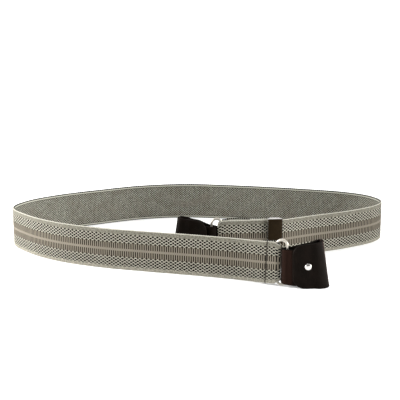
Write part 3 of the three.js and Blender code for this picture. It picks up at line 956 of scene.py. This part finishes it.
def plate(name, outline, low, high, frame, edge):
    """An upright prism over an outline, with its upper and lower edges rounded."""
    levels = [(low + edge * (1 - s), edge * (1 - c)) for s, c in reversed(quarter(EDGE_STEPS))]
    levels += [(high + low - z, inset) for z, inset in reversed(levels)]
    centre = sum((Vector(point) for point in outline), Vector((0, 0))) / len(outline)
    reach_x = max(abs(point[0] - centre.x) for point in outline)
    reach_y = max(abs(point[1] - centre.y) for point in outline)
    vertices = []
    for z, inset in levels:
        scale_x = 1 - inset / reach_x
        scale_y = 1 - inset / reach_y
        for x, y in outline:
            vertices.append((centre.x + (x - centre.x) * scale_x, centre.y + (y - centre.y) * scale_y, z))
    return new_object(name, in_frame(frame, vertices), stacked_faces(len(levels), len(outline)))


def make_slide(strap, metal, leather):
    """The slide's metal, joined from its legs, plate and bar, and the leather on its plate."""
    place = strap.at(strap.length - SLIDE_FROM_RING)
    along = strap.heading(strap.length - SLIDE_FROM_RING)
    frame = upright_frame(place.xy, along, BACK_END["hand"])
    half = SLIDE_WIDTH / 2
    low = SLIDE_LOW - SLIDE_LEG
    high = SLIDE_HIGH + SLIDE_LEG
    leg = rounded_outline(half, PLATE_FRONT, SLIDE_BACK, SLIDE_CORNER, SLIDE_BACK_RADIUS)
    face = rounded_outline(half, PLATE_FRONT, PLATE_BACK, SLIDE_CORNER, PLATE_CORNER)
    radius = SLIDE_BAR_RADIUS
    bar = [(radius * c - SLIDE_BAR_SHIFT, radius * s - SLIDE_BAR_OUT) for c, s in circle(BAR_SIDES)]
    pieces = [
        plate("slide_frame", leg, SLIDE_HIGH, high, frame, SLIDE_EDGE),
        plate("slide_leg_low", leg, low, SLIDE_LOW, frame, SLIDE_EDGE),
        plate("slide_plate", face, low + PLATE_INSET, high - PLATE_INSET, frame, PLATE_EDGE),
        plate("slide_bar", bar, SLIDE_LOW - BAR_INTO_LEG, SLIDE_HIGH + BAR_INTO_LEG, frame, BAR_EDGE),
    ]
    finish_piece(join_solids(pieces), [metal], "slide_metal", "slide")
    make_slide_cover(low, high, frame, leather)


def join_solids(pieces):
    """The union of several closed pieces, as the first piece's mesh."""
    first = pieces[0]
    for other in pieces[1:]:
        joint = first.modifiers.new("join", "BOOLEAN")
        joint.operation = "UNION"
        joint.solver = "EXACT"
        joint.object = other
        depsgraph = bpy.context.evaluated_depsgraph_get()
        mesh = bpy.data.meshes.new_from_object(first.evaluated_get(depsgraph), depsgraph=depsgraph)
        first.modifiers.clear()
        first.data = mesh
        bpy.data.objects.remove(other, do_unlink=True)
    return first


def make_slide_cover(low, high, frame, leather):
    """The crowned leather on the slide's plate, with soft edges all round."""
    half = SLIDE_WIDTH / 2 + COVER_OVER
    back = PLATE_FRONT + SEAT_GAP
    section = [(-half, back), (half, back)]
    for i in range(COVER_CROWN_STEPS + 1):
        share = 1 - 2 * i / COVER_CROWN_STEPS
        soft = math.sqrt(max(0, 1 - abs(share) ** COVER_SQUARENESS))
        crown = COVER_SIDE + (COVER_MIDDLE - COVER_SIDE) * (1 - share**2)
        section.append((half * share, back + COVER_RIM + (crown - COVER_RIM) * soft))
    rounding = COVER_ROUNDING
    lower = [(low + rounding * (1 - c), COVER_END + (1 - COVER_END) * s) for s, c in quarter(COVER_END_STEPS)]
    rise = (high - low - 2 * rounding) / COVER_ROWS
    levels = [*lower, *((low + rounding + rise * i, 1) for i in range(1, COVER_ROWS))]
    levels += [(high + low - z, share) for z, share in reversed(lower)]
    vertices = []
    places = []
    for z, share in levels:
        taper = 1 - COVER_TAPER * (1 - share)
        for x, y in section:
            vertices.append((x * taper, back + (y - back) * share, z))
            places.append((x, z))
    faces = stacked_faces(len(levels), len(section))
    made = new_object("slide_cover_leather", in_frame(frame, vertices), faces)
    add_weave_map(made, places)
    finish_piece(made, [leather], "slide_leather", "slide_cover")


class Value:
    """A number that nodes work out. Reckoning with it adds the nodes for that."""

    def __init__(self, nodes, socket):
        self.nodes = nodes
        self.socket = socket

    def __add__(self, other):
        return self.nodes.math("ADD", self, other)

    def __sub__(self, other):
        return self.nodes.math("SUBTRACT", self, other)

    def __mul__(self, other):
        return self.nodes.math("MULTIPLY", self, other)

    def __truediv__(self, other):
        return self.nodes.math("DIVIDE", self, other)

    def __abs__(self):
        return self.nodes.math("ABSOLUTE", self)

    def step(self, low, high):
        """0 at low and 1 at high, eased between them."""
        inputs = {"Value": self, "From Min": low, "From Max": high}
        return self.nodes.node("ShaderNodeMapRange", inputs, interpolation_type="SMOOTHSTEP")

    def span(self, low, high):
        """low at 0 and high at 1, in a straight line."""
        return self.nodes.node("ShaderNodeMapRange", {"Value": self, "To Min": low, "To Max": high})

    def past(self, edge):
        """1 where a height lies past an edge of the weave."""
        return self.step(edge + EDGE_BLEND[0], edge + EDGE_BLEND[1])

    def from_whole(self):
        """The distance to the nearest whole number, from 0 to 0.5."""
        return abs(self - self.nodes.math("ROUND", self))

    def wave(self, period):
        """0 at whole periods and 1 half way between them, in straight lines."""
        return (self / period).from_whole() * 2.0


class Nodes:
    """The node tree of a material or world, with short ways to add nodes."""

    def __init__(self, owner):
        owner.use_nodes = True
        self.tree = owner.node_tree

    def feed(self, node, inputs):
        """Links a node's inputs to values, or sets them to plain numbers or colours."""
        for key, value in inputs.items():
            if isinstance(value, Value):
                self.tree.links.new(value.socket, node.inputs[key])
            else:
                node.inputs[key].default_value = value

    def node(self, kind, inputs=None, output=0, **settings):
        """Adds a node and gives the value of one of its outputs."""
        made = self.tree.nodes.new(kind)
        for key, value in settings.items():
            setattr(made, key, value)
        self.feed(made, inputs or {})
        return Value(self, made.outputs[output])

    def math(self, operation, *values):
        return self.node("ShaderNodeMath", dict(enumerate(values)), operation=operation)

    def parts(self, vector):
        """The three numbers of a vector."""
        return [self.node("ShaderNodeSeparateXYZ", {0: vector}, output=k) for k in range(3)]

    def mix(self, share, first, second):
        return self.node("ShaderNodeMix", {0: share, 6: first, 7: second}, output=2, data_type="RGBA")

    def covered(self, colour, covers):
        """A colour with others laid over it in turn, each by its share."""
        for share, cover in covers:
            colour = self.mix(share, colour, cover)
        return colour

    def noise(self, vector, scale, detail, roughness):
        inputs = {"Vector": vector, "Scale": scale, "Detail": detail, "Roughness": roughness}
        return self.node("ShaderNodeTexNoise", inputs)

    def flecks(self, along, up, scales, detail, roughness):
        """Noise with one scale along the material and another up it."""
        place = self.node("ShaderNodeCombineXYZ", {0: along * scales[0], 1: up * scales[1]})
        return self.noise(place, 1.0, detail, roughness)

    def from_lattice(self, across, up):
        """How far a place lies from the nearest points of a lattice: 0 on one, 0.5 half way."""
        return self.math("MAXIMUM", (across + up).from_whole(), (across - up).from_whole())


class Finish(Nodes):
    """A material's node tree, which leads to its shader."""

    def __init__(self, name):
        self.material = bpy.data.materials.new(name)
        super().__init__(self.material)
        self.shader = self.tree.nodes["Principled BSDF"]

    def place(self):
        """The flat material's own coordinates, in millimetres along and up."""
        return self.node("ShaderNodeUVMap", uv_map="flat")

    def surface(self, colour, roughness, relief, depth, shine):
        """The material with its colour, its fine relief, whose depth is in metres, and its shine."""
        normal = self.node("ShaderNodeBump", {"Strength": 1.0, "Distance": depth, "Height": relief})
        self.feed(self.shader, {"Base Color": colour, "Roughness": roughness, "Normal": normal, **shine})
        return self.material


def webbing_outer_finish(seam):
    """The patterned face: a plain stripe, ribs, the open lattice and plain borders."""
    finish = Finish("webbing_outer")
    along, up = finish.parts(finish.place())[:2]
    height = up - WEBBING_WIDTH / 2
    from_middle = abs(height)
    above = height.step(*EVEN_BLEND)
    rows = (from_middle - LATTICE_START) / LATTICE_PITCH
    from_opening = finish.from_lattice(along / WEAVE_PERIOD, rows)
    opening = from_opening.step(OPENING_REACH, OPENING_REACH - OPENING_BLEND)
    tips = along.wave(WEAVE_PERIOD)
    beads = along.wave(WEAVE_PERIOD / 2)
    past_zigzag = from_middle - ZIGZAG_HIGH + tips * (ZIGZAG_HIGH - ZIGZAG_LOW)
    from_zigzag = abs(past_zigzag) - ZIGZAG_HALF_WIDTH
    in_lattice = past_zigzag.step(*EVEN_BLEND)
    lattice_edge = above * (UPPER_LATTICE_EDGE - LOWER_LATTICE_EDGE) + LOWER_LATTICE_EDGE
    from_seam = abs(along + height * SEAM_LEAN - seam)

    fibre = finish.flecks(along, up, scales=(3.2, 1.1), detail=4, roughness=0.6)
    knots = finish.flecks(along, up, scales=(0.8, 0.9), detail=3, roughness=0.6)
    mottle = finish.flecks(along, up, scales=(0.11, 0.16), detail=3, roughness=0.5)
    # painted shade at each yarn's sides next to the openings, and a painted highlight on its middle
    lattice = finish.covered(YARN_SHADE, [
        (from_opening.step(*YARN_CORE), YARN_HIGHLIGHTED),
        (fibre * FIBRE_SHARE, YARN_SHADE),
        (mottle * MOTTLE_SHARE, YARN_WARM),
        (opening, OPENING_DARK),
    ])
    pocket = from_middle.step(*POCKET_HEIGHT) * tips.step(*POCKET_REACH)
    ribs = finish.mix(beads.step(*RIB_CORE), RIB_SHADE, RIB_LIGHT)
    # painted light: the lower border is lighter than the upper, for the floor's light from below
    border_shade = finish.mix(above, LOWER_BORDER_SHADE, UPPER_BORDER_SHADE)
    border_light = finish.mix(above, LOWER_BORDER_LIGHT, UPPER_BORDER_LIGHT)
    border = finish.mix(knots.step(*NOISE_RANGE), border_shade, border_light)
    crest = finish.mix(beads.step(*CREST_BEAD), INNER_DARK, SELVEDGE_LIGHT)
    colour = finish.covered(finish.mix(fibre, STRIPE_SHADE, STRIPE_LIGHT), [
        (from_middle.past(STRIPE_EDGE), finish.mix(pocket, ribs, OPENING_DARK)),
        (in_lattice, lattice),
        (from_zigzag.step(ZIGZAG_BLEND, -ZIGZAG_BLEND), ZIGZAG_YARN),
        ((from_middle - lattice_edge).step(*BORDER_BLEND), border),
        (from_middle.past(SELVEDGE), SELVEDGE_LIGHT),
        (from_middle.step(*CREST), crest),
        (from_seam.step(*SEAM_SHADE), OPENING_DARK),
    ])
    yarns = fibre * FIBRE_RELIEF + (along + up).wave(TWIST_PERIOD) * TWIST_RELIEF
    relief = yarns - opening * in_lattice * OPENING_RELIEF
    return finish.surface(colour, OUTER_ROUGHNESS, relief, OUTER_BUMP, WEBBING_SHINE)


def webbing_inner_finish():
    """The inner face: fine dots all over, with a light line inside each dotted edge."""
    finish = Finish("webbing_inner")
    along, up = finish.parts(finish.place())[:2]
    from_middle = abs(up - WEBBING_WIDTH / 2)
    dot = finish.from_lattice(along / INNER_PERIOD, from_middle / INNER_PITCH).step(*INNER_DOT)
    fibre = finish.flecks(along, up, scales=(0.9, 0.9), detail=4, roughness=0.7)
    patches = finish.flecks(along, up, scales=(0.16, 0.16), detail=4, roughness=0.65)
    warm_patches = finish.flecks(along, up, scales=(0.06, 0.09), detail=3, roughness=0.6)
    bead = along.wave(WEAVE_PERIOD / 2).step(*INNER_BEAD)
    colour = finish.covered(finish.mix(fibre.step(*NOISE_RANGE), INNER_SHADE, INNER_LIGHT), [
        (warm_patches.step(*WARM_RANGE) * WARM_SHARE, INNER_WARM),
        (dot * (patches * DOT_PATCHES + DOT_SHARE), INNER_DARK),
        (abs(from_middle - UNDER_LINE).step(*UNDER_BLEND) * UNDER_SHARE, INNER_DARK),
        (abs(from_middle - LIGHT_LINE).step(*LINE_BLEND), INNER_LIGHT),
        (from_middle.step(*INNER_EDGE), finish.mix(bead, INNER_DARK, INNER_LIGHT)),
    ])
    relief = fibre - dot * DOT_RELIEF
    return finish.surface(colour, INNER_ROUGHNESS, relief, INNER_BUMP, WEBBING_SHINE)


def thread_finish():
    """Dark twisted sewing thread."""
    finish = Finish("seam_thread")
    place = finish.node("ShaderNodeTexCoord", output="Object")
    strands = finish.noise(place, scale=2600, detail=3, roughness=0.6)
    colour = finish.mix(strands, THREAD_SHADE, THREAD_LIGHT)
    return finish.surface(colour, THREAD_ROUGHNESS, strands, THREAD_BUMP, {})


def leather_finish(name, dark, warm, worn_and_lit_places=()):
    """Smooth leather with pebbled grain, faint creases and matt cut edges painted in its plain dark tone as
    painted shade, redder where worn, and lighter and redder where painted light falls.
    """
    finish = Finish(name)
    place = finish.place()
    along, up = finish.parts(place)[:2]
    grain = {"Vector": place, "Scale": PEBBLE_SCALE}
    edges = finish.node("ShaderNodeTexVoronoi", grain, output="Distance", feature="DISTANCE_TO_EDGE")
    cloud = finish.noise(place, scale=0.12, detail=4, roughness=0.6)
    crease = finish.flecks(along, up, scales=(0.9, 0.14), detail=5, roughness=0.65)
    normal = finish.node("ShaderNodeNewGeometry", output="Normal")
    cut_edge = abs(finish.parts(normal)[2]).step(*CUT_EDGE)
    # painted light on the neck and wear on the fold, each over a stretch of the leather
    covers = [(abs(along - at).step(reach, reach * WORN_AND_LIT_CORE), tone) for at, reach, tone in worn_and_lit_places]
    # painted shade: the cut edges take the plain dark tone, which dims the light they catch
    covers.append((cut_edge, dark))
    colour = finish.covered(finish.mix(cloud.step(*NOISE_RANGE), dark, warm), covers)
    roughness = crease.span(*LEATHER_ROUGHNESS) + cut_edge * CUT_EDGE_DULLING
    relief = edges.step(0.0, PEBBLE_EDGE) * PEBBLE_RELIEF + crease * CREASE_RELIEF
    return finish.surface(colour, roughness, relief, LEATHER_BUMP, LEATHER_SHINE)


def metal_finish(name, colour, roughness):
    """Plated metal with faint polishing marks and tiny wear."""
    finish = Finish(name)
    place = finish.node("ShaderNodeTexCoord", output="Object")
    marks = finish.noise(place, scale=900, detail=4, roughness=0.6)
    wear = finish.noise(place, scale=180, detail=3, roughness=0.5)
    worn = (*(METAL_WEAR * channel for channel in colour[:3]), 1)
    colour = finish.mix(wear.step(*WEAR_RANGE), colour, worn)
    roughness = marks.span(*(roughness + more for more in ROUGHNESS_SPREAD))
    return finish.surface(colour, roughness, marks, METAL_BUMP, {"Metallic": 1})


def make_floor():
    """A wide white floor, with a little light of its own."""
    half = FLOOR_REACH
    corners = [(-half, -half, 0), (half, -half, 0), (half, half, 0), (-half, half, 0)]
    mesh = bpy.data.meshes.new("floor")
    mesh.from_pydata(corners, [], [(0, 1, 2, 3)])
    floor = bpy.data.objects.new("floor", mesh)
    bpy.context.scene.collection.objects.link(floor)
    paper = Finish("floor_paper")
    paper.feed(paper.shader, {"Base Color": FLOOR_COLOUR, "Roughness": FLOOR_ROUGHNESS, **FLOOR_SHINE})
    paper.feed(paper.shader, {"Emission Color": WHITE, "Emission Strength": FLOOR_GLOW})
    floor.data.materials.append(paper.material)


def add_light(name, kind, power, rotation, place=(0, 0, 0), **settings):
    lamp = bpy.data.lights.new(name, kind)
    lamp.energy = power
    for key, value in settings.items():
        setattr(lamp, key, value)
    made = bpy.data.objects.new(name, lamp)
    made.location = place
    made.rotation_euler = rotation
    bpy.context.scene.collection.objects.link(made)


def aimed(place, aim):
    """The rotation of a lamp that looks from a place at another."""
    return (Vector(aim) - Vector(place)).to_track_quat("-Z", "Y").to_euler()


def make_lights():
    """The soft light over the belt, a softbox at either side and a narrow spot."""
    spread = math.radians(OVERHEAD_SPREAD)
    add_light("overhead", "SUN", OVERHEAD_LIGHT, (math.radians(-OVERHEAD_TILT), 0, 0), angle=spread)
    for name, place, size, power in SOFTBOXES:
        add_light(name, "AREA", power, aimed(place, SOFTBOX_AIM), place, shape="SQUARE", size=size)
    cone = {"spot_size": math.radians(SPOT_SPREAD), "spot_blend": 1, "shadow_soft_size": SPOT_RADIUS}
    add_light("spot", "SPOT", SPOT_LIGHT, aimed(SPOT_PLACE, SPOT_AIM), SPOT_PLACE, **cone)


def make_world():
    """White all round, and dimmer towards the camera's side of the studio."""
    world = bpy.data.worlds.new("studio")
    nodes = Nodes(world)
    light = {"From Min": -WORLD_TURN, "From Max": WORLD_TURN, "To Min": ROOM_LIGHT, "To Max": STUDIO_LIGHT}
    light["Value"] = nodes.parts(nodes.node("ShaderNodeTexCoord", output="Generated"))[1]
    strength = nodes.node("ShaderNodeMapRange", light)
    nodes.feed(nodes.tree.nodes["Background"], {"Color": WHITE, "Strength": strength})
    bpy.context.scene.world = world


def make_camera():
    lens = bpy.data.cameras.new("camera")
    lens.lens = CAMERA_LENS
    lens.sensor_width = CAMERA_SENSOR
    camera = bpy.data.objects.new("camera", lens)
    camera.location = (CAMERA_FOOT[0] * MM, CAMERA_FOOT[1] * MM, CAMERA_HEIGHT * MM)
    camera.rotation_euler = (math.radians(90 - CAMERA_PITCH), 0, 0)
    bpy.context.scene.collection.objects.link(camera)
    bpy.context.scene.camera = camera


def make_stage():
    bpy.context.scene.view_settings.view_transform = "Standard"
    make_world()
    make_floor()
    make_lights()
    make_camera()


def make_belt():
    """Every visible piece of the belt, with its material."""
    strap = strap_route()
    front = strap_end(strap.reversed(), 1)
    back = strap_end(strap, -1)
    route, strap_starts = webbing_route(front, back)
    make_webbing(route, strap_starts, strap_starts + strap.length)
    make_seams(front, back, thread_finish())

    # the neck's painted light, where it catches the light from the left
    neck = (tab_stations().length - NECK_LIGHT_BAND[0], NECK_LIGHT_BAND[1], NECK_LIT)
    fold = (*FOLD_WEAR, TAB_WORN)
    front_leather = leather_finish("front_leather", TAB_DARK, TAB_WARM, [neck, fold])
    back_leather = leather_finish("back_leather", TAB_DARK, TAB_WARM)
    metals = {
        "ring": metal_finish("ring_nickel", RING_METAL, RING_ROUGHNESS),
        "snap": metal_finish("snap_nickel", SNAP_METAL, SNAP_ROUGHNESS),
    }
    make_end(FRONT_END, front["bar"], {**metals, "leather": front_leather})
    make_end(BACK_END, back["bar"], {**metals, "leather": back_leather})
    slide_metal = metal_finish("slide_chrome", SLIDE_METAL, SLIDE_ROUGHNESS)
    make_slide(strap, slide_metal, leather_finish("slide_leather", COVER_DARK, COVER_WARM))


def main():
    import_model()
    make_stage()
    make_belt()


main()
